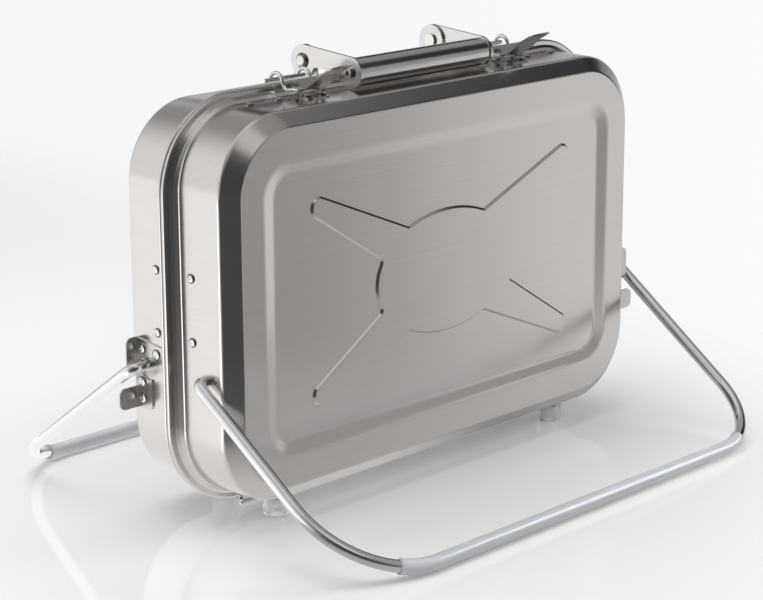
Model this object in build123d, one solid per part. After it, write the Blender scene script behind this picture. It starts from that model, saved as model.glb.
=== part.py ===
from build123d import *
import os
from math import atan, degrees, hypot, pi, sqrt, tan

# Portable suitcase grill: two pressed pans that shut face to face, with a handle, draw latches and wire legs
# Millimetres. X along the case, Y depth (front face at -Y), Z up, floor at Z = 0.

os.makedirs("parts", exist_ok=True)

# Case size: half width, half height and corner radius of the pan at each depth from the parting plane
SHEET = 0.8
WALL = 0.81
CASE_Z = 139.3
FACE_DEPTH = 49.3
FACE = (182.2, 113.3, 41.6)
CHAMFER_DEPTH = 40.8
CHAMFER = (192.6, 122.5, 48.5)
ROOT_DEPTH = 7.1
ROOT = (193.7, 123.0, 49.1)
BEAD_DEPTH = 4.6
BEAD = (196.2, 124.8, 52.9)
FLARE = (198.0, 126.6, 54.2)
RIM = (202.4, 130.1, 58.4)
RIM_BACK = 3.05
RIM_FRONT = 0.15
HEM_RADIUS = 1.2
MOUTH = (196.8, 125.4, 53.2)
FACE_BEND = 2.0
CHAMFER_BEND = 3.0
ROOT_BEND = 1.5

# Pressed panel and cross on each face
PANEL_TOP = (162.8, 92.4, 22.0)
PANEL_FLOOR = (154.1, 84.5, 14.0)
PANEL_DEPTH = 2.3
PANEL_BEND = 10.0
MOUTH_BEND = 12.0
DISH_ABOVE = 0.2
CROSS_RISE = 1.5
CROSS_OVAL = (66.0, 41.3)
CROSS_ROOTS = ((35.4, 34.3), (61.4, 17.2))
CROSS_TIP = (115.5, 59.7)
CROSS_TIP_RADIUS = 7.15
CROSS_TUCK = 9.0
CROSS_FILLET = 3.0
CROSS_SLOPE = 1.3
CROSS_BEND = 0.7
CROSS_HOLLOW = 1.6

# Wall rivets and the support angles that they hold
RIVET_HEAD = 3.1
RIVET_RISE = 1.5
RIVET_SHANK = 1.6
SIDE_RIVETS = ((-16.2, 163.5), (-16.2, 123.5))
TOP_RIVETS = (117.0, 141.0)
TOP_RIVET_Y = -13.6
ANGLE_SHEET = 1.2
ANGLE_SHELF_Y = -21.2
ANGLE_FRONT_Y = -9.5
ANGLE_REACH = 15.0
ANGLE_END = 10.0
ANGLE_CORNER_END = 2.6

# Grates inside each pan
GRATE_FRAME = (182.0, 112.0, 40.0)
GRATE_FRAME_WIRE = 2.0
GRATE_FRAME_Y = -18.0
GRATE_BAR_WIRE = 1.5
GRATE_BAR_PITCH = 19.0
GRATE_BARS = 19
COAL_PLATE = (186.0, 115.5, 43.0)
COAL_PLATE_Y = -36.0
COAL_SHEET = 1.0
COAL_SKIRT_Y = -45.1
COAL_SLOT = (40.0, 6.0)
COAL_SLOT_PITCH = (58.0, 40.0)
COAL_SLOT_COUNT = (6, 5)

# Feet
FOOT_X = 134.0
FOOT_Y = -24.3
FOOT_RADIUS = 8.5
FOOT_HEIGHT = 16.42
FOOT_BORE = 4.2
FOOT_BORE_DEPTH = 10.5
FOOT_SCREW = 2.0
FOOT_SCREW_TOP = 20.0

# Legs: a bent wire whose bracket-side arm runs out a little towards its pivot, clear of the bracket's tab
LEG_WIRE = 3.9
LEG_PIVOT = (-26.7, 100.8)
LEG_FLOOR = (-164.1, 5.0)
LEG_PLAIN_X = -200.0
LEG_BRACKET_X = 200.4
LEG_CLEAR_X = 207.2
LEG_END_X = 188.0
LEG_END_BEND = 5.6
LEG_PLAIN_CORNER = 66.0
LEG_BRACKET_CORNER = 50.0
LEG_HOLE_GAP = 0.06
SLEEVE_RADIUS = 5.0
SLEEVE_GAP = 0.02
SLEEVE_WRAP = (29.0, 20.0)
WASHER_X = 189.6
WASHER_SHEET = 1.4
WASHER_RADIUS = 6.5

# Leg bracket on the right wall of the front pan
BRACKET_SHEET = 1.2
BRACKET_INNER_Y = -37.7
BRACKET_OUTER_Y = -8.5
BRACKET_TOP_Z = 117.0
BRACKET_LOBE_Z = 98.5
BRACKET_STRIP_Y = -22.5
BRACKET_BOTTOM_Z = 71.6
BRACKET_CUT = 7.5
BRACKET_TAB_X = (208.6, 202.2)
BRACKET_NOTCH = (85.3, 94.6)
BRACKET_TAB_CORNER = 4.5
BRACKET_RIVETS = ((-31.0, 110.4), (-16.7, 109.4), (-31.5, 89.0), (-31.3, 78.5))
BRACKET_RIVET_HEAD = 3.6

# Piano hinge
HINGE_Z = 3.0
HINGE_HALF = 142.0
HINGE_KNUCKLES = 14
HINGE_GAP = 0.3
BARREL = 2.5
HINGE_PIN = 1.0
PIN_GAP = 0.06
LEAF_SHEET = 1.0
LEAF_Y = 1.5

# Handle
HANDLE_PIVOT = (21.3, 276.3)
HANDLE_TUBE = (-21.5, 272.9)
ARM_X = 60.2
ARM_SHEET = 1.9
ARM_REAR = 10.5
ARM_FRONT = 10.2
ARM_DEPTH = 12.6
TUBE_RADIUS = 9.3
TUBE_WALL = 1.0
EAR_SHEET = 1.6
EAR_FACE = 60.0
EAR_FOOT = 15.0
EAR_RIVET_IN = 5.2
EAR_RIVET_APART = 11.0
PIVOT_SHANK = 2.9
PIVOT_HEAD = 5.2
PIVOT_RISE = 2.6

# Draw latches
LATCH_X = 94.0
LATCH_HALF = 9.3
LATCH_PIVOT = (-14.5, 266.2)
BAIL_PIVOT = (-19.0, 266.9)
LATCH_SHEET = 0.8
LEVER_LINE = ((-14.0, 272.7), (-22.2, 267.6), (-30.0, 272.4), (-37.0, 278.2), (-44.0, 282.2),
              (-50.0, 284.3))
LEVER_TIP = 8.6
BAIL_WIRE = 1.2
BAIL_HALF = 11.9
BAIL_LINE = ((-15.0, 267.0), (-9.5, 266.6), (-6.9, 268.6), (-6.0, 271.6), (-4.6, 274.6), (-0.7, 276.2),
             (3.2, 274.6), (4.9, 271.0))
BAIL_BAR = 1.3
BAIL_BAR_HALF = 17.5
BASE_Y = (-28.0, -11.5)
BASE_HALF = 9.9
BASE_SHEET = 0.9
LUG_HALF = 7.8
LUG_RADIUS = 2.2
LATCH_PIN = 1.0
BASE_RIVETS = 6.5
BASE_RIVET_Y = -22.4


def save(name, *solids):
    shape = solids[0] if len(solids) == 1 else Compound(children=list(solids))
    export_step(shape, os.path.join("parts", name + ".step"))


def turned(solids):
    """The same pieces on the rear half: half a turn about the case's upright axis."""
    return [s.rotate(Axis.Z, 180) for s in solids]


def across(solid):
    """The mirror twin on the other side of the case."""
    return mirror(solid, about=Plane.YZ)


def section(size, y):
    plane = Plane(origin=(0, y, CASE_Z), x_dir=(1, 0, 0), z_dir=(0, -1, 0))
    return plane * RectangleRounded(2 * size[0], 2 * size[1], size[2])


def shrunk(size, by):
    return tuple(v - by for v in size)


def stack(*levels):
    """Straight-sided loft through (size, y) levels."""
    return loft([section(size, y) for size, y in levels], ruled=True)


def disc_x(x0, x1, y, z, radius):
    """Round bar along X."""
    plane = Plane(origin=(x0, y, z), x_dir=(0, 1, 0), z_dir=(1, 0, 0))
    return extrude(plane * Circle(radius), amount=x1 - x0)


def plate_x(sketch, x0, x1):
    """Sketch drawn in (Y, Z), made into a plate from x0 to x1."""
    plane = Plane(origin=(x0, 0, 0), x_dir=(0, 1, 0), z_dir=(1, 0, 0))
    return extrude(plane * sketch, amount=x1 - x0)


# Planes that lie on the outside of the front pan's walls, which draw in a little towards the face
SIDE_SLOPE = (ROOT[0] - CHAMFER[0]) / (CHAMFER_DEPTH - ROOT_DEPTH)
TOP_SLOPE = (ROOT[1] - CHAMFER[1]) / (CHAMFER_DEPTH - ROOT_DEPTH)


def side_plane(side, y, z):
    x = ROOT[0] + SIDE_SLOPE * (y + ROOT_DEPTH)
    return Plane(origin=(side * x, y, z), x_dir=(SIDE_SLOPE, side, 0), z_dir=(side, -SIDE_SLOPE, 0))


def top_plane(level, x, y):
    """On the top (level 1) or bottom (level -1) wall of the pan that y falls in."""
    half = ROOT[1] - TOP_SLOPE * (abs(y) - ROOT_DEPTH)
    outward = 1 if y > 0 else -1
    return Plane(origin=(x, y, CASE_Z + level * half), x_dir=(1, 0, 0), z_dir=(0, outward * TOP_SLOPE, level))


def lifted(plane, rise):
    return Plane(origin=plane.origin + plane.z_dir * rise, x_dir=plane.x_dir, z_dir=plane.z_dir)


def spun(plane, head, rise, shank, grip, tail, tail_rise):
    """Domed head with a small centre mark, standing on the plane, with its shank below and a flat tail."""
    mark = 0.18 * head
    points = [(mark, rise - 0.12), (0, rise - 0.45), (0, -grip - tail_rise), (tail, -grip - tail_rise),
              (tail, -grip), (shank, -grip), (shank, 0), (head, 0), (head, 0.3)]
    dome = ThreePointArc((head, 0.3), (0.72 * head, 0.72 * rise), (mark, rise - 0.12))
    return plane * revolve(Plane.XZ * make_face(Polyline(*points) + dome), Axis.Z)


def rivet(plane, grip, head=RIVET_HEAD, rise=RIVET_RISE):
    return spun(plane, head, rise, RIVET_SHANK, grip, 1.5 * RIVET_SHANK, 1.0)


def hole(plane, radius=RIVET_SHANK, depth=8.0):
    return plane * Cylinder(radius, depth)


def cut(shape, *tools):
    for tool in tools:
        shape -= tool
    return shape


# Pans: pressed sheet, so the outside form less the same form moved in by the sheet

def cross_outline(inset=0.0):
    """Oval with four tapering arms that end in round tips."""
    tip = Vector(*CROSS_TIP)
    root_high, root_low = (Vector(*root) for root in CROSS_ROOTS)
    up = (tip + Vector(0, CROSS_TIP_RADIUS) - root_high).normalized()
    down = (tip - Vector(0, CROSS_TIP_RADIUS) - root_low).normalized()
    above = Vector(-up.Y, up.X)
    below = Vector(down.Y, -down.X)
    radius = CROSS_TIP_RADIUS - inset
    high = tip + above * radius
    low = tip + below * radius
    inner_high = root_high - up * CROSS_TUCK - above * inset
    inner_low = root_low - down * CROSS_TUCK - below * inset
    arm = make_face(Polyline(inner_high, inner_low, low, tip, high, inner_high))
    arm += Pos(*CROSS_TIP) * Circle(radius)
    arm += mirror(arm, about=Plane.YZ)
    arm += mirror(arm, about=Plane.XZ)
    outline = Ellipse(CROSS_OVAL[0] - inset, CROSS_OVAL[1] - inset) + arm
    junctions = [v for v in outline.vertices() if abs(v.X) < 0.7 * CROSS_TIP[0] and abs(v.Y) > 1]
    return fillet(junctions, CROSS_FILLET + inset)


def cross_block(inset, y_low, y_high):
    plane = Plane(origin=(0, y_high, CASE_Z), x_dir=(1, 0, 0), z_dir=(0, -1, 0))
    return extrude(plane * cross_outline(inset), amount=y_high - y_low)


def bent(shape, y, radius, within=None):
    """Rounds the edges that lie at depth y, out to a half width of within."""
    level = [e for e in shape.edges() if abs(e.center().Y - y) < 0.02 and e.bounding_box().size.Y < 0.02]
    loop = [e for e in level if within is None or abs(e.center().X) < within]
    return fillet(loop, radius)


def shell_form(sizes, depths, bends):
    """The pan as a block: its walls are straight between these levels and bend at all but the last."""
    shape = stack(*zip(sizes, depths))
    for depth, radius in zip(depths, bends):
        shape = bent(shape, depth, radius)
    return shape


def dish_form(lift, floor_bend):
    """What the recessed panel takes out of the face."""
    slope = (PANEL_TOP[0] - PANEL_FLOOR[0]) / PANEL_DEPTH
    wide = tuple(v + DISH_ABOVE * slope for v in PANEL_TOP)
    floor_y = lift + PANEL_DEPTH - FACE_DEPTH
    dish = stack((wide, lift - FACE_DEPTH - DISH_ABOVE), (PANEL_FLOOR, floor_y))
    return bent(dish, floor_y, floor_bend)


def cross_form():
    """The raised cross as a block with sloping, rounded walls."""
    floor_y = PANEL_DEPTH - FACE_DEPTH
    block = cross_block(0, floor_y - CROSS_RISE, floor_y + SHEET / 2)
    top = [e for e in block.edges() if abs(e.center().Y - (floor_y - CROSS_RISE)) < 0.01]
    block = chamfer(top, CROSS_SLOPE)
    return bent(block, floor_y - CROSS_RISE, CROSS_BEND)


def pan():
    outside = shell_form((FACE, CHAMFER, ROOT, BEAD, FLARE),
                         (-FACE_DEPTH, -CHAMFER_DEPTH, -ROOT_DEPTH, -BEAD_DEPTH, -RIM_BACK),
                         (FACE_BEND, CHAMFER_BEND, ROOT_BEND))
    inside = shell_form((shrunk(FACE, 0.28), shrunk(CHAMFER, SHEET), shrunk(ROOT, SHEET),
                         shrunk(BEAD, SHEET), MOUTH),
                        (SHEET - FACE_DEPTH, 0.38 - CHAMFER_DEPTH, 0.1 - ROOT_DEPTH, 0.4 - BEAD_DEPTH, 0.1),
                        (FACE_BEND - SHEET, CHAMFER_BEND - SHEET))
    rim = stack((RIM, -RIM_BACK), (RIM, -RIM_FRONT))
    rim = bent(bent(rim, -RIM_BACK, HEM_RADIUS), -RIM_FRONT, HEM_RADIUS)
    outside = bent(outside - dish_form(0, PANEL_BEND), -FACE_DEPTH, MOUTH_BEND, PANEL_TOP[0] + 2)
    inside = bent(inside - dish_form(SHEET, PANEL_BEND - SHEET), SHEET - FACE_DEPTH, MOUTH_BEND + SHEET,
                  PANEL_TOP[0] + 2)
    floor_y = PANEL_DEPTH - FACE_DEPTH
    hollow = cross_block(CROSS_HOLLOW, floor_y - CROSS_RISE + SHEET, floor_y + SHEET + 0.01)
    return outside + rim - inside + cross_form() - hollow


def wall_rivet_planes():
    planes = [side_plane(side, y, z) for side in (-1, 1) for y, z in SIDE_RIVETS]
    places = [(level, side * x) for level in (-1, 1) for side in (-1, 1) for x in TOP_RIVETS]
    planes += [top_plane(level, x, TOP_RIVET_Y) for level, x in places]
    return planes


# Support angles inside the walls

def side_support(side):
    """Angle on a side wall: a plate on the sheet and a level shelf under the grate."""
    (y, z_high), (_, z_low) = SIDE_RIVETS
    z = (z_high + z_low) / 2
    long = z_high - z_low + 2 * ANGLE_END
    plane = side_plane(side, (ANGLE_SHELF_Y + ANGLE_FRONT_Y) / 2, z)
    plate = lifted(plane, -WALL - ANGLE_SHEET / 2) * Box(ANGLE_FRONT_Y - ANGLE_SHELF_Y, long, ANGLE_SHEET)
    outer = plane.origin.X - side * (SHEET + 0.8)
    shelf = Pos(outer - side * ANGLE_REACH / 2, ANGLE_SHELF_Y + ANGLE_SHEET / 2, z) * Box(
        ANGLE_REACH, ANGLE_SHEET, long)
    return plate + shelf


def end_support(level, side):
    """The same angle on the top or the bottom wall, ending where the wall's corner begins to bend."""
    x_near = TOP_RIVETS[0] - ANGLE_END
    x_far = TOP_RIVETS[1] + ANGLE_CORNER_END
    x = side * (x_near + x_far) / 2
    long = x_far - x_near
    plane = top_plane(level, x, (ANGLE_SHELF_Y + ANGLE_FRONT_Y) / 2)
    plate = lifted(plane, -WALL - ANGLE_SHEET / 2) * Box(long, ANGLE_FRONT_Y - ANGLE_SHELF_Y, ANGLE_SHEET)
    outer = plane.origin.Z - level * (SHEET + 0.8)
    shelf = Pos(x, ANGLE_SHELF_Y + ANGLE_SHEET / 2, outer - level * ANGLE_REACH / 2) * Box(
        long, ANGLE_SHEET, ANGLE_REACH)
    return plate + shelf


def supports():
    made = [side_support(side) for side in (-1, 1)]
    made += [end_support(level, side) for level in (-1, 1) for side in (-1, 1)]
    holes = [hole(plane) for plane in wall_rivet_planes()]
    return [cut(angle, *holes) for angle in made]


# Grates

def grate_frame():
    path = section(GRATE_FRAME, GRATE_FRAME_Y).wires()[0]
    start = path.position_at(0)
    ring = Plane(origin=start, z_dir=path.tangent_at(0)) * Circle(GRATE_FRAME_WIRE)
    return sweep(ring, path=path)


def grate_bars():
    half_x, half_z, corner = GRATE_FRAME
    bars = []
    for i in range(GRATE_BARS):
        x = (i - (GRATE_BARS - 1) / 2) * GRATE_BAR_PITCH
        past = max(0.0, abs(x) - (half_x - corner))
        reach = half_z - corner + sqrt(corner ** 2 - past ** 2)
        y = GRATE_FRAME_Y + GRATE_FRAME_WIRE + GRATE_BAR_WIRE
        bars.append(Pos(x, y, CASE_Z) * Cylinder(GRATE_BAR_WIRE, 2 * reach))
    return bars


def coal_grate():
    outside = stack((COAL_PLATE, COAL_SKIRT_Y), (COAL_PLATE, COAL_PLATE_Y))
    inside = stack((shrunk(COAL_PLATE, COAL_SHEET), COAL_SKIRT_Y - 1),
                   (shrunk(COAL_PLATE, COAL_SHEET), COAL_PLATE_Y - COAL_SHEET))
    plane = Plane(origin=(0, COAL_PLATE_Y + 1, CASE_Z), x_dir=(1, 0, 0), z_dir=(0, -1, 0))
    slots = [extrude(plane * place * SlotOverall(*COAL_SLOT), amount=4)
             for place in GridLocations(*COAL_SLOT_PITCH, *COAL_SLOT_COUNT)]
    return cut(outside - inside, *slots)


# Feet

def foot(side):
    body = Pos(0, 0, FOOT_HEIGHT / 2) * Cylinder(FOOT_RADIUS, FOOT_HEIGHT)
    body = fillet(body.edges().sort_by(Axis.Z)[0], 1.5)
    body -= Pos(0, 0, FOOT_BORE_DEPTH / 2) * Cylinder(FOOT_BORE, FOOT_BORE_DEPTH)
    body -= Pos(0, 0, FOOT_HEIGHT / 2) * Cylinder(FOOT_SCREW, FOOT_HEIGHT)
    return Pos(side * FOOT_X, FOOT_Y, 0) * body


def foot_screw(side):
    head = Pos(0, 0, FOOT_BORE_DEPTH - 1.2) * Cylinder(3.6, 2.4)
    long = FOOT_SCREW_TOP - FOOT_BORE_DEPTH
    shank = Pos(0, 0, FOOT_BORE_DEPTH + long / 2) * Cylinder(FOOT_SCREW, long)
    slot = Pos(0, 0, FOOT_BORE_DEPTH - 2.2) * (Box(4.4, 0.9, 1.2) + Box(0.9, 4.4, 1.2))
    return Pos(side * FOOT_X, FOOT_Y, 0) * (head + shank - slot)


# Legs: everything is drawn in the plane of the bent wire, with the pivot line as its X axis

LEG_LENGTH = hypot(LEG_FLOOR[0] - LEG_PIVOT[0], LEG_FLOOR[1] - LEG_PIVOT[1])
LEG_ALONG = ((LEG_FLOOR[0] - LEG_PIVOT[0]) / LEG_LENGTH, (LEG_FLOOR[1] - LEG_PIVOT[1]) / LEG_LENGTH)
LEG_PLANE = Plane(origin=(0, *LEG_PIVOT), x_dir=(1, 0, 0), z_dir=(0, -LEG_ALONG[1], LEG_ALONG[0]))


def leg_path():
    """The bent line of the wire, from its end in the left wall round to its end in the right one."""
    corners = (
        (LEG_PLAIN_X, 0, LEG_END_BEND),
        (LEG_PLAIN_X, LEG_LENGTH, LEG_PLAIN_CORNER),
        (LEG_BRACKET_X, LEG_LENGTH, LEG_BRACKET_CORNER),
        (LEG_CLEAR_X, 0, LEG_END_BEND),
    )
    points = [(x, y) for x, y, _ in corners]
    path = Polyline((-LEG_END_X, 0), *points, (LEG_END_X, 0))
    for x, y, radius in corners:
        vertex = path.vertices().sort_by_distance((x, y, 0))[0]
        path = path.fillet_2d(radius, [vertex])
    return path


def leg_wire():
    path = LEG_PLANE * leg_path()
    ring = Plane(origin=path.position_at(0), z_dir=path.tangent_at(0)) * Circle(LEG_WIRE)
    return sweep(ring, path=path)


def leg_sleeve():
    """Clear tube on the floor bar, running a little way into both bends."""
    left_wrap, right_wrap = SLEEVE_WRAP
    splay = atan((LEG_CLEAR_X - LEG_BRACKET_X) / LEG_LENGTH)
    left_centre = LEG_PLAIN_X + LEG_PLAIN_CORNER
    right_centre = LEG_BRACKET_X - LEG_BRACKET_CORNER / tan(pi / 4 + splay / 2)
    turn_left = degrees(left_wrap / LEG_PLAIN_CORNER)
    turn_right = degrees(right_wrap / LEG_BRACKET_CORNER)
    flat = Line((left_centre, LEG_LENGTH), (right_centre, LEG_LENGTH))
    left = CenterArc((left_centre, LEG_LENGTH - LEG_PLAIN_CORNER), LEG_PLAIN_CORNER, 90, turn_left)
    right = CenterArc((right_centre, LEG_LENGTH - LEG_BRACKET_CORNER), LEG_BRACKET_CORNER, 90, -turn_right)
    made = None
    for piece in (flat, left, right):
        path = LEG_PLANE * piece
        plane = Plane(origin=path.position_at(0), z_dir=path.tangent_at(0))
        ring = plane * (Circle(SLEEVE_RADIUS) - Circle(LEG_WIRE + SLEEVE_GAP))
        tube = sweep(ring, path=path)
        made = tube if made is None else made + tube
    return made


def leg_washers():
    """Push-on washers on the wire's ends, inside the walls."""
    washers = []
    for side in (-1, 1):
        near = side * WASHER_X
        far = side * (WASHER_X + WASHER_SHEET)
        washers.append(disc_x(near, far, *LEG_PIVOT, WASHER_RADIUS) - disc_x(near, far, *LEG_PIVOT, LEG_WIRE))
    return washers


# Leg bracket

def outline_of(points, corners):
    """Closed outline through the points, with (point, radius) corners rounded."""
    face = make_face(Polyline(*points, points[0]))
    for point, radius in corners:
        face = fillet(face.vertices().sort_by_distance((*point, 0))[0], radius)
    return face


def bracket_plate():
    """Lobe with two rivets above the wire and a narrow strip with two below, cut out round the wire."""
    lobe = outline_of([(BRACKET_INNER_Y, BRACKET_TOP_Z), (BRACKET_OUTER_Y, BRACKET_TOP_Z - 3),
                       (BRACKET_OUTER_Y, BRACKET_LOBE_Z + 2), (BRACKET_INNER_Y, BRACKET_LOBE_Z - 4)],
                      [((BRACKET_OUTER_Y, BRACKET_LOBE_Z + 2), 5), ((BRACKET_OUTER_Y, BRACKET_TOP_Z - 3), 2)])
    strip = outline_of([(BRACKET_INNER_Y, BRACKET_LOBE_Z), (BRACKET_STRIP_Y, BRACKET_LOBE_Z),
                        (BRACKET_STRIP_Y, BRACKET_BOTTOM_Z), (BRACKET_INNER_Y, BRACKET_BOTTOM_Z)],
                       [((BRACKET_STRIP_Y, BRACKET_BOTTOM_Z), 4)])
    opening = Pos(LEG_PIVOT[0] + 1.0, LEG_PIVOT[1] - 2.0) * Circle(BRACKET_CUT)
    return side_plane(1, 0, 0) * extrude(lobe + strip - opening, amount=BRACKET_SHEET)


def bracket_tab(low, high, reach):
    """Tab bent out from the plate's inner edge, from the wall to x = reach."""
    root = side_plane(1, 0, 0).origin.X + SIDE_SLOPE * BRACKET_INNER_Y + BRACKET_SHEET / 3
    tab = Pos((root + reach) / 2, (low + high) / 2) * Rectangle(reach - root, high - low)
    tab = fillet(tab.vertices().sort_by(Axis.X)[-2:], BRACKET_TAB_CORNER)
    plane = Plane(origin=(0, BRACKET_INNER_Y + BRACKET_SHEET, 0), x_dir=(1, 0, 0), z_dir=(0, -1, 0))
    return extrude(plane * tab, amount=BRACKET_SHEET)


def bracket():
    """The upper tab ends inside the wire's path; the lower one has its whole reach."""
    notch_low, notch_high = BRACKET_NOTCH
    lower_reach, upper_reach = BRACKET_TAB_X
    body = bracket_plate()
    body += bracket_tab(BRACKET_BOTTOM_Z, notch_low, lower_reach)
    body += bracket_tab(notch_high, BRACKET_TOP_Z, upper_reach)
    return cut(body, *[hole(side_plane(1, y, z)) for y, z in BRACKET_RIVETS])


def bracket_rivets():
    planes = [lifted(side_plane(1, y, z), BRACKET_SHEET) for y, z in BRACKET_RIVETS]
    return [rivet(plane, BRACKET_SHEET + WALL, head=BRACKET_RIVET_HEAD) for plane in planes]


# Piano hinge

def knuckles(first):
    pitch = 2 * HINGE_HALF / HINGE_KNUCKLES
    return [(-HINGE_HALF + i * pitch + HINGE_GAP / 2, -HINGE_HALF + (i + 1) * pitch - HINGE_GAP / 2)
            for i in range(first, HINGE_KNUCKLES, 2)]


def hinge_leaf(side, first, bore):
    """Leaf that runs down flush with its knuckles, every second one; side -1 is under the front rim."""
    rim_z = CASE_Z - RIM[1]
    near, far = side * LEAF_Y, side * (LEAF_Y + LEAF_SHEET)
    clear_z = HINGE_Z + BARREL + 0.4
    upright = Pos(0, (near + far) / 2, (clear_z + rim_z) / 2)
    upright *= Box(2 * HINGE_HALF, LEAF_SHEET, rim_z - clear_z)
    foot_y = side * (LEAF_Y + RIM_BACK) / 2
    leaf = upright + Pos(0, foot_y, rim_z - 0.45) * Box(2 * HINGE_HALF, RIM_BACK - LEAF_Y, 0.9)
    for x0, x1 in knuckles(first):
        link = Pos((x0 + x1) / 2, (near + far) / 2, (HINGE_Z + clear_z) / 2 + 0.1)
        link *= Box(x1 - x0, LEAF_SHEET, clear_z - HINGE_Z + 0.2)
        leaf += disc_x(x0, x1, 0, HINGE_Z, BARREL)
        leaf += link
    return leaf - disc_x(-HINGE_HALF - 1, HINGE_HALF + 1, 0, HINGE_Z, bore)


# Handle

def arm_outline():
    """Plate with two round ends, a straight top edge and a raised lower edge that clears the rims."""
    rear_y, rear_z = HANDLE_PIVOT
    front_y, front_z = HANDLE_TUBE
    ends = Pos(rear_y, rear_z) * Circle(ARM_REAR) + Pos(front_y, front_z) * Circle(ARM_FRONT)
    along = Vector(front_y - rear_y, front_z - rear_z).normalized()
    up = Vector(along.Y, -along.X)
    corners = [(rear_y + up.X * ARM_REAR, rear_z + up.Y * ARM_REAR),
               (front_y + up.X * ARM_FRONT, front_z + up.Y * ARM_FRONT),
               (front_y + up.X * (ARM_FRONT - ARM_DEPTH), front_z + up.Y * (ARM_FRONT - ARM_DEPTH)),
               (rear_y + up.X * (ARM_REAR - ARM_DEPTH), rear_z + up.Y * (ARM_REAR - ARM_DEPTH))]
    waist = make_face(Polyline(*corners, corners[0]))
    outline = ends + waist
    inner = [v for v in outline.vertices() if abs(v.X) < 16 and v.Y < 273.6]
    return fillet(inner, 3.0)


def handle_arm(side):
    outer = ARM_X + ARM_SHEET
    arm = plate_x(arm_outline(), side * ARM_X, side * outer)
    arm -= disc_x(side * (ARM_X - 1), side * (outer + 1), *HANDLE_PIVOT, PIVOT_SHANK + PIN_GAP)
    return arm - disc_x(side * (ARM_X - 1), side * (outer + 1), *HANDLE_TUBE, 2.5)


def handle_tube():
    tube = disc_x(-ARM_X, ARM_X, *HANDLE_TUBE, TUBE_RADIUS)
    tube -= disc_x(-ARM_X - 1, ARM_X + 1, *HANDLE_TUBE, TUBE_RADIUS - TUBE_WALL)
    for side in (-1, 1):
        plug = disc_x(side * (ARM_X - 12), side * ARM_X, *HANDLE_TUBE, TUBE_RADIUS - TUBE_WALL)
        tube += plug - disc_x(side * (ARM_X - 13), side * (ARM_X + 1), *HANDLE_TUBE, 2.5)
    return tube


def handle_screw(side):
    face = side * (ARM_X + ARM_SHEET)
    plane = Plane(origin=(face, *HANDLE_TUBE), x_dir=(0, 1, 0), z_dir=(side, 0, 0))
    head = fillet((Pos(0, 0, 1.2) * Cylinder(3.4, 2.4)).edges().sort_by(Axis.Z)[-1], 0.6)
    socket = Pos(0, 0, 1.0) * extrude(RegularPolygon(1.9, 6), amount=2)
    shank = Pos(0, 0, -5.5) * Cylinder(2.5, 11.0)
    return plane * (head + shank - socket)


def ear(side):
    """Upright plate on a bent foot, which lies on the slightly falling top wall."""
    y, z = HANDLE_PIVOT
    outer = side * EAR_FACE
    inner = outer - side * EAR_SHEET
    wall = top_plane(1, outer - side * EAR_FOOT / 2, y)
    foot_z = wall.origin.Z + EAR_SHEET / 2
    outline = Pos(y, z) * Circle(ARM_REAR) + Pos(y, (z + foot_z) / 2) * Rectangle(2 * ARM_REAR, z - foot_z)
    upright = plate_x(outline, inner, outer)
    foot = lifted(wall, EAR_SHEET / 2) * Box(EAR_FOOT, 2 * ARM_REAR, EAR_SHEET)
    bend = Pos(inner - side * 0.8, y, foot_z + EAR_SHEET / 2 + 0.5) * Box(1.6, 2 * ARM_REAR, 2.0)
    upper_edges = bend.edges().filter_by(Axis.Y).sort_by(Axis.Z)[-2:]
    bend = chamfer(upper_edges.sort_by(Axis.X)[-1 if side < 0 else 0], 1.4)
    body = upright + foot + bend - disc_x(side * 50, side * 70, y, z, PIVOT_SHANK)
    return cut(body, *[hole(plane) for plane in ear_rivet_planes(side)])


def ear_rivet_planes(side):
    x = side * (EAR_FACE - EAR_FOOT + EAR_RIVET_IN)
    return [top_plane(1, x, HANDLE_PIVOT[0] + dy) for dy in (-EAR_RIVET_APART / 2, EAR_RIVET_APART / 2)]


def pivot_rivet(side):
    outer = ARM_X + ARM_SHEET + 0.15
    inner = EAR_FACE - EAR_SHEET
    plane = Plane(origin=(side * outer, *HANDLE_PIVOT), x_dir=(0, 1, 0), z_dir=(side, 0, 0))
    return spun(plane, PIVOT_HEAD, PIVOT_RISE, PIVOT_SHANK, outer - inner, 1.5 * PIVOT_SHANK, 1.6)


# Latches, drawn for the right-hand one in (Y, Z) about its middle plane

def strip_outline(points, thickness):
    """Bent strip of even thickness along a line of points."""
    left, right = [], []
    for i, (y, z) in enumerate(points):
        before = Vector(*points[max(i - 1, 0)])
        after = Vector(*points[min(i + 1, len(points) - 1)])
        here = Vector(y, z)
        into = (here - before).normalized() if i else (after - here).normalized()
        out = (after - here).normalized() if i < len(points) - 1 else into
        middle = (into + out).normalized()
        reach = thickness / 2 / (middle.X * out.X + middle.Y * out.Y)
        left.append((y - middle.Y * reach, z + middle.X * reach))
        right.append((y + middle.Y * reach, z - middle.X * reach))
    ring = left + right[::-1]
    return make_face(Polyline(*ring, ring[0]))


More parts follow.
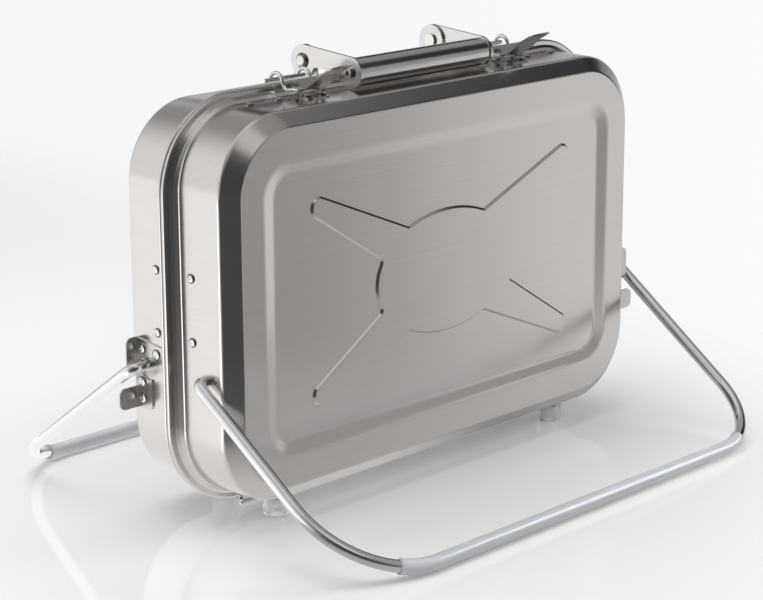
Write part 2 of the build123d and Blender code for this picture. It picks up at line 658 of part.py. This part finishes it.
def latch_lever():
    plate = plate_x(strip_outline(LEVER_LINE, LATCH_SHEET), LATCH_X - LATCH_HALF, LATCH_X + LATCH_HALF)
    tip_y = LEVER_LINE[-1][0]
    plan = Pos(LATCH_X, (tip_y - 8) / 2) * Rectangle(2 * LATCH_HALF, -8 - tip_y)
    plan = fillet([v for v in plan.vertices() if v.Y < tip_y + 0.1], LEVER_TIP)
    plate &= Pos(0, 0, 250) * extrude(plan, amount=50)
    cheek = make_face(Polyline((-17.0, 265.0), (-14.5, 263.6), (-12.2, 265.2), (-12.2, 268.2), (-14.2, 272.3),
                               (-20.9, 268.1), (-21.3, 266.0), (-19.0, 264.9), (-17.0, 265.0)))
    for side in (-1, 1):
        near = LATCH_X + side * (LATCH_HALF - LATCH_SHEET)
        plate += plate_x(cheek, near, near + side * LATCH_SHEET)
    plate -= disc_x(LATCH_X - 20, LATCH_X + 20, *LATCH_PIVOT, LATCH_PIN + PIN_GAP)
    return plate - disc_x(LATCH_X - 20, LATCH_X + 20, *BAIL_PIVOT, BAIL_WIRE + PIN_GAP)


def latch_pin():
    half = LATCH_HALF + 0.9
    pin = disc_x(LATCH_X - half, LATCH_X + half, *LATCH_PIVOT, LATCH_PIN)
    for side in (-1, 1):
        start = LATCH_X + side * (LATCH_HALF + 0.15)
        pin += disc_x(start, start + side * 0.8, *LATCH_PIVOT, 1.9)
    return pin


def latch_base():
    """Plate on the top wall with two lugs for the lever's pin."""
    y0, y1 = BASE_Y
    wall = top_plane(1, LATCH_X, (y0 + y1) / 2)
    outline = Rectangle(2 * BASE_HALF, y1 - y0)
    outline = fillet([v for v in outline.vertices() if v.Y < 0], 4.0)
    base = wall * extrude(outline, amount=BASE_SHEET)
    y, z = LATCH_PIVOT
    low = wall.origin.Z + BASE_SHEET / 2
    lug = Pos(y, z) * Circle(LUG_RADIUS) + Pos(y, (z + low) / 2) * Rectangle(2 * LUG_RADIUS, z - low)
    for side in (-1, 1):
        near = LATCH_X + side * (LUG_HALF - BASE_SHEET)
        base += plate_x(lug, near, near + side * BASE_SHEET)
    base -= disc_x(LATCH_X - 20, LATCH_X + 20, *LATCH_PIVOT, LATCH_PIN)
    return cut(base, *[hole(plane) for plane in base_rivet_planes(1)])


def base_rivet_planes(side):
    return [top_plane(1, side * (LATCH_X + dx), BASE_RIVET_Y) for dx in (-BASE_RIVETS, BASE_RIVETS)]


def bail():
    """Two sprung wire arches over the rims, pinned in the lever, with one bar across their rear ends."""
    made = disc_x(LATCH_X - BAIL_BAR_HALF, LATCH_X + BAIL_BAR_HALF, *BAIL_LINE[-1], BAIL_BAR)
    for side in (-1, 1):
        x = LATCH_X + side * BAIL_HALF
        inner = LATCH_X + side * (LATCH_HALF - LATCH_SHEET - 0.7)
        made += disc_x(inner, x, *BAIL_PIVOT, BAIL_WIRE)
        made += Pos(x, *BAIL_PIVOT) * Sphere(BAIL_WIRE)
        path = Spline(*[(x, y, z) for y, z in (BAIL_PIVOT,) + BAIL_LINE])
        ring = Plane(origin=path.position_at(0), z_dir=path.tangent_at(0)) * Circle(BAIL_WIRE)
        made += sweep(ring, path=path)
    return made


# Build the front half's own pieces, then the same pieces turned for the rear half

wall_planes = wall_rivet_planes()
latch_planes = [plane for side in (-1, 1) for plane in base_rivet_planes(side)]
ear_planes = [plane for side in (-1, 1) for plane in ear_rivet_planes(side)]

front_pan = cut(pan(), *[hole(plane) for plane in wall_planes])
front_pan = cut(front_pan, *[hole(side_plane(1, y, z)) for y, z in BRACKET_RIVETS])
leg_holes = [disc_x(side * 185, side * 198, *LEG_PIVOT, LEG_WIRE + LEG_HOLE_GAP) for side in (-1, 1)]
foot_holes = [Pos(side * FOOT_X, FOOT_Y, FOOT_HEIGHT) * Cylinder(FOOT_SCREW, 8) for side in (-1, 1)]
front_pan = cut(front_pan, *leg_holes, *foot_holes)
rear_pan = turned([front_pan])[0]
front_pan = cut(front_pan, *[hole(plane) for plane in latch_planes])
rear_pan = cut(rear_pan, *[hole(plane) for plane in ear_planes])

same_on_both = {
    "support_angles": supports(),
    "wall_rivets": [rivet(plane, WALL + ANGLE_SHEET) for plane in wall_planes],
    "grate_frame": [grate_frame()],
    "grate_bars": grate_bars(),
    "charcoal_grate": [coal_grate()],
    "feet": [foot(-1), foot(1)],
    "foot_screws": [foot_screw(-1), foot_screw(1)],
    "leg_wire": [leg_wire()],
    "leg_sleeve": [leg_sleeve()],
    "leg_washers": leg_washers(),
    "leg_bracket": [bracket()],
    "bracket_rivets": bracket_rivets(),
}

save("front_pan", front_pan)
save("rear_pan", rear_pan)
for name, solids in same_on_both.items():
    save("front_" + name, *solids)
    save("rear_" + name, *turned(solids))

save("front_hinge_leaf", hinge_leaf(-1, 1, HINGE_PIN + PIN_GAP))
save("rear_hinge_leaf", hinge_leaf(1, 0, HINGE_PIN))
save("hinge_pin", disc_x(-HINGE_HALF - 1, HINGE_HALF + 1, 0, HINGE_Z, HINGE_PIN))

save("left_handle_arm", handle_arm(-1))
save("right_handle_arm", handle_arm(1))
save("handle_tube", handle_tube())
save("handle_screws", handle_screw(-1), handle_screw(1))
save("left_handle_ear", ear(-1))
save("right_handle_ear", ear(1))
save("handle_pivot_rivets", pivot_rivet(-1), pivot_rivet(1))
save("ear_rivets", *[rivet(lifted(plane, EAR_SHEET), EAR_SHEET + WALL) for plane in ear_planes])

latch_pieces = {
    "latch_base": latch_base(),
    "latch_lever": latch_lever(),
    "latch_pin": latch_pin(),
    "latch_bail": bail(),
}
for name, solid in latch_pieces.items():
    save("right_" + name, solid)
    save("left_" + name, across(solid))
save("latch_rivets", *[rivet(lifted(plane, BASE_SHEET), BASE_SHEET + WALL) for plane in latch_planes])
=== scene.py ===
import math

import bpy
from mathutils import Matrix, Vector

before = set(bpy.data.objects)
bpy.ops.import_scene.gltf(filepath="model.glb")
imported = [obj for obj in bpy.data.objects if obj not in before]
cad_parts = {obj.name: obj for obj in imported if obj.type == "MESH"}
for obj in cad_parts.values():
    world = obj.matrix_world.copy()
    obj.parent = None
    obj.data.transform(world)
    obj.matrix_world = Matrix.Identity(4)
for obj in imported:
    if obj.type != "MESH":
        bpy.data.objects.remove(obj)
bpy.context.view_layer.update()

# Camera
# It stands to the left in front of the case, a little above it, with a long lens, and is
# turned by a hair. Its place and way were fitted to the edges of the pans and rims.
CAMERA_PLACE = Vector((-1.0695, -1.0264, 0.5049))
CAMERA_BACK = Vector((-0.6932, -0.6731, 0.2576)).normalized()
CAMERA_ROLL = math.radians(-0.26)
CAMERA_LENS = 107.9
CAMERA_SENSOR = 36
CAMERA_REACH = 50

camera_data = bpy.data.cameras.new("camera")
camera_data.lens = CAMERA_LENS
camera_data.sensor_width = CAMERA_SENSOR
camera_data.clip_end = CAMERA_REACH
camera = bpy.data.objects.new("camera", camera_data)
level_right = Vector((0, 0, 1)).cross(CAMERA_BACK).normalized()
level_up = CAMERA_BACK.cross(level_right)
camera_right = level_right * math.cos(CAMERA_ROLL) + level_up * math.sin(CAMERA_ROLL)
camera_up = level_up * math.cos(CAMERA_ROLL) - level_right * math.sin(CAMERA_ROLL)
turn = Matrix((camera_right, camera_up, CAMERA_BACK)).transposed()
camera.matrix_world = Matrix.Translation(CAMERA_PLACE) @ turn.to_4x4()
bpy.context.scene.collection.objects.link(camera)
bpy.context.scene.camera = camera
bpy.context.scene.view_settings.view_transform = "Standard"


# Studio surroundings
# A pale room that is bright behind the case and to its left, and dark on the camera's
# side, as the bends of the steel show. The camera itself sees a near white background.
class Socket:
    """A node's output. Arithmetic on it adds Math nodes to the same tree."""

    def __init__(self, tree, socket):
        self.tree = tree
        self.socket = socket

    def node(self, kind, settings, sockets, output=0):
        """Adds a node: its settings first, then the values or links of its sockets."""
        return add_node(self.tree, kind, settings, sockets, output)

    def maths(self, operation, *values):
        sockets = dict(enumerate(values))
        return self.node("ShaderNodeMath", {"operation": operation}, sockets)

    def vector_maths(self, operation, *values, output=0):
        sockets = dict(enumerate(values))
        settings = {"operation": operation}
        return self.node("ShaderNodeVectorMath", settings, sockets, output)

    def __add__(self, other):
        return self.maths("ADD", self, other)

    def __sub__(self, other):
        return self.maths("SUBTRACT", self, other)

    def __rsub__(self, other):
        return self.maths("SUBTRACT", other, self)

    def __mul__(self, other):
        return self.maths("MULTIPLY", self, other)

    __radd__ = __add__
    __rmul__ = __mul__


def add_node(tree, kind, settings, sockets, output=0):
    """Adds a node to a tree, and gives back the wanted one of its outputs."""
    made = tree.nodes.new(kind)
    for name, value in settings.items():
        setattr(made, name, value)
    for name, value in sockets.items():
        if isinstance(value, Socket):
            tree.links.new(value.socket, made.inputs[name])
        else:
            made.inputs[name].default_value = value
    return Socket(tree, made.outputs[output]) if made.outputs else made


def dot(vector, direction):
    """How far a vector reaches along a direction."""
    return vector.vector_maths("DOT_PRODUCT", vector, direction, output="Value")


def smooth_step(value, start, end):
    """0 before start and 1 after end, with a soft change between them."""
    return value.node(
        "ShaderNodeMapRange",
        {"interpolation_type": "SMOOTHSTEP"},
        {"Value": value, "From Min": start, "From Max": end},
    )


def between(low, high, share):
    """Low where the share is 0, and high where it is 1."""
    return low + share * (high - low)


def share_towards(way, direction, start, full):
    """How far a way points to a direction: 0 below the start cosine, 1 above the full one."""
    return smooth_step(dot(way, Vector(direction).normalized()), start, full)


# The grey between the zones.
ROOM_LEVEL = 0.40
# Each zone has the way it lies in, the cosines where it starts and is full, and its
# brightness. A later zone covers the ones before it.
ROOM_ZONES = (
    # A bright wall behind the case at the left, and a less bright one at the right.
    ((-0.75, 0.66, -0.05), 0.35, 0.9, 1.15),
    ((0.66, 0.75, -0.05), 0.72, 0.95, 0.72),
    # Grey in front at the right, which the face mirrors, and dark on the camera's side.
    ((0.71, -0.68, -0.17), 0.72, 0.98, 0.46),
    ((-0.45, -0.84, -0.05), 0.55, 0.93, 0.08),
    # Dark higher up at the right, and grey in front of it just above the table.
    ((0.86, -0.36, 0.38), 0.90, 0.955, 0.03),
    ((0.66, -0.73, 0.12), 0.95, 0.985, 0.5),
    # A light patch high in front, and a light ceiling.
    ((-0.08, -0.63, 0.77), 0.945, 0.985, 0.85),
    ((-0.2, 0.1, 0.97), 0.80, 0.97, 0.85),
    # A dark patch high behind at the right, which the front half's top wall mirrors.
    ((0.66, 0.60, 0.42), 0.972, 0.99, 0.02),
    # Two small bright patches, low at the left and low in front.
    ((-0.963, 0.07, -0.26), 0.97, 0.99, 2.2),
    ((0.2, -0.94, -0.26), 0.965, 0.99, 1.6),
)
# The share of those levels that the whole room is lit at.
ROOM_SHARE = 0.8
# What the camera sees: a level, and what it gains towards the right.
BACKGROUND_LEVEL = 0.935
BACKGROUND_SLOPE = 0.15


def room_brightness(way):
    """The room's brightness as metal sees it, for a way into it."""
    brightness = ROOM_LEVEL
    for direction, start, full, level in ROOM_ZONES:
        brightness = between(brightness, level, share_towards(way, direction, start, full))
    return brightness


def background_brightness(way):
    """The near white that the camera sees, a little brighter to the right."""
    return dot(way, level_right) * BACKGROUND_SLOPE + BACKGROUND_LEVEL


def seen_directly(any_socket):
    """1 for what the camera sees, straight on or through clear plastic."""
    by_camera = any_socket.node("ShaderNodeLightPath", {}, {}, "Is Camera Ray")
    through = any_socket.node("ShaderNodeLightPath", {}, {}, "Is Transmission Ray")
    return any_socket.maths("MAXIMUM", by_camera, through)


world = bpy.data.worlds.new("studio")
bpy.context.scene.world = world
world.use_nodes = True
room = world.node_tree
room.nodes.clear()
way = add_node(room, "ShaderNodeTexCoord", {}, {})
in_steel = room_brightness(way) * ROOM_SHARE
brightness = between(in_steel, background_brightness(way), seen_directly(way))
shine = way.node("ShaderNodeBackground", {}, {"Color": brightness, "Strength": 1})
way.node("ShaderNodeOutputWorld", {}, {"Surface": shine})


# Floor
# A glossy white tabletop that lets some of the background through, and more of it away
# from the case, so that a half that swings below the table's level still shows. To the
# steel's reflections it glows with a painted reflection: painted light at the right, and
# painted shade at the left and close by.
def new_material(name):
    made = bpy.data.materials.new(name)
    made.use_nodes = True
    made.node_tree.nodes.clear()
    return made


FLOOR_SIZE = 9.0
TABLE_COLOUR = (0.9, 0.9, 0.9, 1)
TABLE_ROUGHNESS = 0.05
# How clear the table is close to the case, and the reach over which it clears up. The
# lean counts places to the camera's right as further away, and those to its left nearer.
CLEAR_SHARE = 0.2
CLEAR_REACH = (0.25, 0.85)
CLEAR_LEAN = 1.0
# The table's right edge: the way it faces, how far out it lies, how clear it is beyond.
TABLE_EDGE = (1, -0.29, 0)
TABLE_EDGE_AT = (0.376, 0.388)
BEYOND_EDGE = 0.9
# The middle from which the steel looks out at the table.
CASE_MIDDLE = (0, 0, 0.14)
# What the face mirrors, a painted reflection of a table that is lit more at the right: the
# way to it with its cosines, and the way along the table in which its level changes, from
# where to where and from which level to which.
FACE_LOOKS = (0.71, -0.68, -0.17)
FACE_COSINES = (0.6, 0.85)
FACE_ALONG = (1, 1.03, 0)
FACE_SWEEP = (-0.24, 0.18)
FACE_LEVELS = (0.38, 0.78)
# Closer by than this the table glows with painted shade of its own, lighter at the left, to
# which a share of the room's is added.
CLOSE_BY = (0.2, 0.42)
CLOSE_SHARE = 0.45
CLOSE_SWEEP = (-0.06, 0.10)
CLOSE_SHADE_LEVELS = (0.5, 0.12)
# A strip of painted light along the front: where it begins, is full, fades and ends, towards
# the camera.
FRONT_STRIP = (0.06, 0.11, 0.28, 0.38)
FRONT_STRIP_SHARE = 0.4
FRONT_STRIP_LEVEL = 0.33


def floor_before_face(place):
    """The painted reflection that the face mirrors, from its left end to its right one."""
    return between(*FACE_LEVELS, smooth_step(dot(place, FACE_ALONG), *FACE_SWEEP))


def floor_close_by(place, mirrored, before_face):
    """What the lower edges and bends mirror: painted shade close by, with a painted lighter
    strip along the front.
    """
    rightward = smooth_step(dot(place, (1, 0, 0)), *CLOSE_SWEEP)
    close = mirrored * CLOSE_SHARE + between(*CLOSE_SHADE_LEVELS, rightward)
    forward = dot(place, (0, -1, 0))
    begins, is_full, fades, ends = FRONT_STRIP
    strip = smooth_step(forward, begins, is_full) * (1 - smooth_step(forward, fades, ends))
    lit = before_face * FRONT_STRIP_SHARE + FRONT_STRIP_LEVEL
    return between(close, lit, strip)


def painted_floor_reflection(place, distance):
    """The floor's painted brightness as metal sees it: the room's, with painted light and
    shade before the case.
    """
    from_case = place.vector_maths("SUBTRACT", place, CASE_MIDDLE)
    way = place.vector_maths("NORMALIZE", from_case)
    before_face = floor_before_face(place)
    ahead = share_towards(way, FACE_LOOKS, *FACE_COSINES)
    mirrored = between(room_brightness(way), before_face, ahead)
    close = floor_close_by(place, mirrored, before_face)
    return between(close, mirrored, smooth_step(distance, *CLOSE_BY))


def floor_clearness(place, distance):
    """How much of the background comes through the table."""
    reach = distance + dot(place, level_right) * CLEAR_LEAN
    clearness = between(CLEAR_SHARE, 1, smooth_step(reach, *CLEAR_REACH))
    beyond_edge = smooth_step(dot(place, TABLE_EDGE), *TABLE_EDGE_AT) * BEYOND_EDGE
    return place.maths("MAXIMUM", clearness, beyond_edge)


def table_material():
    """White to the camera and the lamps. Metal sees a glow of the painted levels worked out
    above.
    """
    made = new_material("white_tabletop")
    place = add_node(made.node_tree, "ShaderNodeTexCoord", {}, {}, "Object")
    distance = place.vector_maths("LENGTH", place, output="Value")
    white = {"Base Color": TABLE_COLOUR, "Roughness": TABLE_ROUGHNESS}
    table = place.node("ShaderNodeBsdfPrincipled", {}, white)
    level = painted_floor_reflection(place, distance)
    # Painted reflection: an emission that only glossy rays see, standing in for the lit and
    # shaded table.
    painted_reflection_glow = place.node("ShaderNodeEmission", {}, {"Color": level})
    by_metal = place.node("ShaderNodeLightPath", {}, {}, "Is Glossy Ray")
    solid = place.node("ShaderNodeMixShader", {}, {0: by_metal, 1: table, 2: painted_reflection_glow})
    clear = place.node("ShaderNodeBsdfTransparent", {}, {"Color": (1, 1, 1, 1)})
    share = floor_clearness(place, distance) * seen_directly(place)
    mixed = place.node("ShaderNodeMixShader", {}, {0: share, 1: solid, 2: clear})
    place.node("ShaderNodeOutputMaterial", {}, {"Surface": mixed})
    return made


bpy.ops.mesh.primitive_plane_add(size=FLOOR_SIZE)
floor = bpy.context.object
floor.name = "floor"
floor.data.materials.append(table_material())


# Lamps
# Large soft boxes: one overhead, one to the left behind the case and one at the right.
# The steel mirrors the room in their place, so that no bend shows a hard white patch.
def soft_box(name, place, aim, size, power):
    """A flat lamp that shines from its place to its aim, with its size in metres."""
    lamp = bpy.data.lights.new(name, "AREA")
    lamp.shape = "RECTANGLE"
    lamp.size, lamp.size_y = size
    lamp.energy = power
    made = bpy.data.objects.new(name, lamp)
    made.visible_glossy = False
    away = Vector(place) - Vector(aim)
    turned = away.to_track_quat("Z", "Y").to_matrix().to_4x4()
    made.matrix_world = Matrix.Translation(place) @ turned
    bpy.context.scene.collection.objects.link(made)


soft_box("overhead_box", (-0.2, 0.3, 1.6), aim=(0, 0, 0), size=(1.6, 1.2), power=18)
soft_box("left_box", (-1.7, 1.3, 1.0), aim=(0, 0, 0.1), size=(0.9, 0.9), power=3)
soft_box("right_box", (1.4, -0.9, 0.8), aim=(0, 0, 0.1), size=(0.7, 1.0), power=12)


# Pans
# The two halves of the case are pressed from stainless sheet that was brushed along its
# length first, so very fine lines run along the face and round the bends. Handling has
# left the gloss a little cloudy.
NOISE_DETAIL = 2
NOISE_MIDDLE = 0.5
# How far the lines slide along the case for each step of depth, and their harshness.
BRUSH_SLANT = 0.31
BRUSH_HARSHNESS = 0.6
BRUSH_RELIEF = {"Strength": 0.2, "Distance": 0.000004}
CLOUD_SCALE = 11
CLOUD_DEPTH = 0.06


def part_of(vector, axis):
    return vector.node("ShaderNodeSeparateXYZ", {}, {"Vector": vector}, axis)


def noise(vector, scale, **others):
    """A soft random pattern from 0 to 1, with about as much below its middle as above."""
    sockets = {"Vector": vector, "Scale": scale, "Detail": NOISE_DETAIL, **others}
    return vector.node("ShaderNodeTexNoise", {}, sockets)


def swing(pattern, depth):
    """What a pattern adds to a value: half the depth at most, up or down."""
    return (pattern - NOISE_MIDDLE) * depth


def mix_colours(share, dark, light):
    """Two colours of three numbers each, mixed by a share from 0 to 1."""
    sockets = {0: share, 6: (*dark, 1), 7: (*light, 1)}
    return share.node("ShaderNodeMix", {"data_type": "RGBA"}, sockets, 2)


def finish_surface(sockets):
    """Ends a material with one Principled shader, whose base colour is a socket."""
    tone = sockets["Base Color"]
    surface = tone.node("ShaderNodeBsdfPrincipled", {}, sockets)
    tone.node("ShaderNodeOutputMaterial", {}, {"Surface": surface})


def brushed_lines(place, lengthwise, across):
    """Object coordinates drawn out along the brushing, which goes round the bends."""
    facing = place.node("ShaderNodeTexCoord", {}, {}, "Normal")
    x, y, z = (part_of(place, axis) for axis in "XYZ")
    along = (x + y * BRUSH_SLANT) * lengthwise
    cross = (z + y * part_of(facing, "Z")) * across
    sockets = {"X": along, "Y": cross, "Z": y * lengthwise}
    return place.node("ShaderNodeCombineXYZ", {}, sockets)


def brushed_steel(name, colour, roughness, lengthwise, across, contrast):
    """Stainless steel with fine lines in its colour and gloss and hardly any relief."""
    made = new_material(name)
    place = add_node(made.node_tree, "ShaderNodeTexCoord", {}, {}, "Object")
    lines = brushed_lines(place, lengthwise, across)
    fine = noise(lines, 1, Roughness=BRUSH_HARSHNESS)
    cloudy = noise(place, CLOUD_SCALE)
    dark = [part * (1 - contrast) for part in colour]
    light = [min(1, part * (1 + contrast)) for part in colour]
    finish_surface(
        {
            "Base Color": mix_colours(fine, dark, light),
            "Metallic": 1,
            "Roughness": swing(fine, contrast) + swing(cloudy, CLOUD_DEPTH) + roughness,
            "Normal": place.node("ShaderNodeBump", {}, {"Height": fine, **BRUSH_RELIEF}),
        }
    )
    return made


def finish_nodes(material, *names):
    """Gives the CAD nodes their material."""
    for name in names:
        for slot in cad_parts[name].material_slots:
            slot.material = material


def on_both(*names):
    """The node names of a piece that both halves have."""
    return [half + name for half in ("front_", "rear_") for name in names]


def left_and_right(*names):
    """The node names of a piece that is there twice, left and right."""
    return [side + name for side in ("left_", "right_") for name in names]


sheet_steel = brushed_steel(
    "brushed_sheet",
    colour=(0.70, 0.665, 0.64),
    roughness=0.19,
    lengthwise=12,
    across=1700,
    contrast=0.05,
)
finish_nodes(sheet_steel, *on_both("pan"))


# Support angles and charcoal grates
# Plain rolled steel sheet inside the pans, with a duller surface and coarser lines. The
# bent angles are riveted to the walls under the cooking grates, and the slotted charcoal
# grates stand on their skirts.
plain_steel = brushed_steel(
    "plain_steel",
    colour=(0.6, 0.59, 0.58),
    roughness=0.34,
    lengthwise=25,
    across=400,
    contrast=0.12,
)
finish_nodes(plain_steel, *on_both("support_angles", "charcoal_grate"))


# Cooking grates
# Bright plated steel wire: a bent frame in each pan, with straight bars welded across it.
# The plating is smooth, with only a trace of the drawing of the wire.
plated_wire = brushed_steel(
    "plated_wire",
    colour=(0.74, 0.74, 0.75),
    roughness=0.16,
    lengthwise=40,
    across=120,
    contrast=0.05,
)
finish_nodes(plated_wire, *on_both("grate_frame", "grate_bars"))


# Rivets
# Turned stainless heads with a small dimple. They hold the support angles, the leg
# brackets, the handle's ears and the latches to the walls of the pans.
# Where a head faces less straight along X or Z than this, it is painted dark as shade.
CROWN_FACING = (0.80, 0.93)
WEAR_SCALE = 900
WEAR_DEPTH = 0.1


def rivet_heads(name, colour, painted_rim_shade, roughness):
    """The steel's own colour on the crowns, and painted shade on the rims and dimples where
    the surface turns away.
    """
    made = new_material(name)
    place = add_node(made.node_tree, "ShaderNodeTexCoord", {}, {}, "Object")
    facing = place.node("ShaderNodeTexCoord", {}, {}, "Normal")
    sideways, upright = (place.maths("ABSOLUTE", part_of(facing, axis)) for axis in "XZ")
    # Painted shade: the rims and dimples get the dark colour, and the crown keeps the steel's
    # own.
    crown = smooth_step(place.maths("MAXIMUM", sideways, upright), *CROWN_FACING)
    worn = noise(place, WEAR_SCALE)
    finish_surface(
        {
            "Base Color": mix_colours(crown, painted_rim_shade, colour),
            "Metallic": 1,
            "Roughness": swing(worn, WEAR_DEPTH) + roughness,
        }
    )
    return made


rivet_steel = rivet_heads(
    "rivet_steel",
    colour=(0.80, 0.79, 0.77),
    painted_rim_shade=(0.20, 0.19, 0.18),
    roughness=0.25,
)
finish_nodes(rivet_steel, *on_both("wall_rivets", "bracket_rivets"))
finish_nodes(rivet_steel, "ear_rivets", "latch_rivets")


# Leg wires
# Stainless wire, bent to a wide U, ground and polished. Its ends go through the walls,
# where push-on washers hold them. The feet's screws and the hinge pin are as bright.
polished_wire = brushed_steel(
    "polished_wire",
    colour=(0.84, 0.835, 0.83),
    roughness=0.08,
    lengthwise=20,
    across=90,
    contrast=0.03,
)
finish_nodes(polished_wire, *on_both("leg_wire", "leg_washers", "foot_screws"))
finish_nodes(polished_wire, "hinge_pin")


# Leg brackets and hinge leaves
# Bent from stainless sheet with a satin surface. One bracket is riveted to a side wall
# of each pan, and the leaves with their knuckles lie under the bottom rims.
bracket_steel = brushed_steel(
    "bracket_steel",
    colour=(0.64, 0.615, 0.595),
    roughness=0.24,
    lengthwise=25,
    across=500,
    contrast=0.08,
)
finish_nodes(bracket_steel, *on_both("leg_bracket", "hinge_leaf"))


# Handle
# Two flat satin arms with a fine-ground tube screwed between them. They turn on rivets in
# two ears, which are riveted to the top of the rear half.
handle_steel = brushed_steel(
    "handle_steel",
    colour=(0.68, 0.66, 0.64),
    roughness=0.19,
    lengthwise=30,
    across=900,
    contrast=0.05,
)
finish_nodes(handle_steel, "handle_tube", *left_and_right("handle_arm", "handle_ear"))
finish_nodes(rivet_steel, "handle_screws", "handle_pivot_rivets")


# Draw latches
# Stamped levers and base plates in a darker satin steel, with pins and bails of bright
# wire. The bases are riveted to the front half, and the bails reach over both rims.
latch_steel = brushed_steel(
    "latch_steel",
    colour=(0.50, 0.485, 0.47),
    roughness=0.24,
    lengthwise=40,
    across=500,
    contrast=0.08,
)
finish_nodes(latch_steel, *left_and_right("latch_lever", "latch_base"))
finish_nodes(polished_wire, *left_and_right("latch_pin", "latch_bail"))


# Sleeves and feet
# Soft clear plastic: milky tubes pushed over the floor bars of the legs, and turned
# clear feet that are screwed under the pans.
PLASTIC_CLOUD_SCALE = 60
PLASTIC_CLOUD_DEPTH = 0.1
PLASTIC_SHADE = 0.95
PLASTIC_IOR = 1.45


def soft_plastic(name, colour, milkiness, roughness):
    """Clear plastic that goes a little cloudy in places."""
    made = new_material(name)
    place = add_node(made.node_tree, "ShaderNodeTexCoord", {}, {}, "Object")
    cloudy = noise(place, PLASTIC_CLOUD_SCALE)
    dark = [part * PLASTIC_SHADE for part in colour]
    finish_surface(
        {
            "Base Color": mix_colours(cloudy, dark, colour),
            "Roughness": swing(cloudy, PLASTIC_CLOUD_DEPTH) + roughness,
            "Transmission Weight": 1 - milkiness,
            "IOR": PLASTIC_IOR,
        }
    )
    return made


milky_tube = soft_plastic("milky_tube", (0.94, 0.96, 1.0), milkiness=0.45, roughness=0.1)
finish_nodes(milky_tube, *on_both("leg_sleeve"))
clear_foot = soft_plastic("clear_foot", (0.98, 0.985, 0.99), milkiness=0.3, roughness=0.06)
finish_nodes(clear_foot, *on_both("feet"))
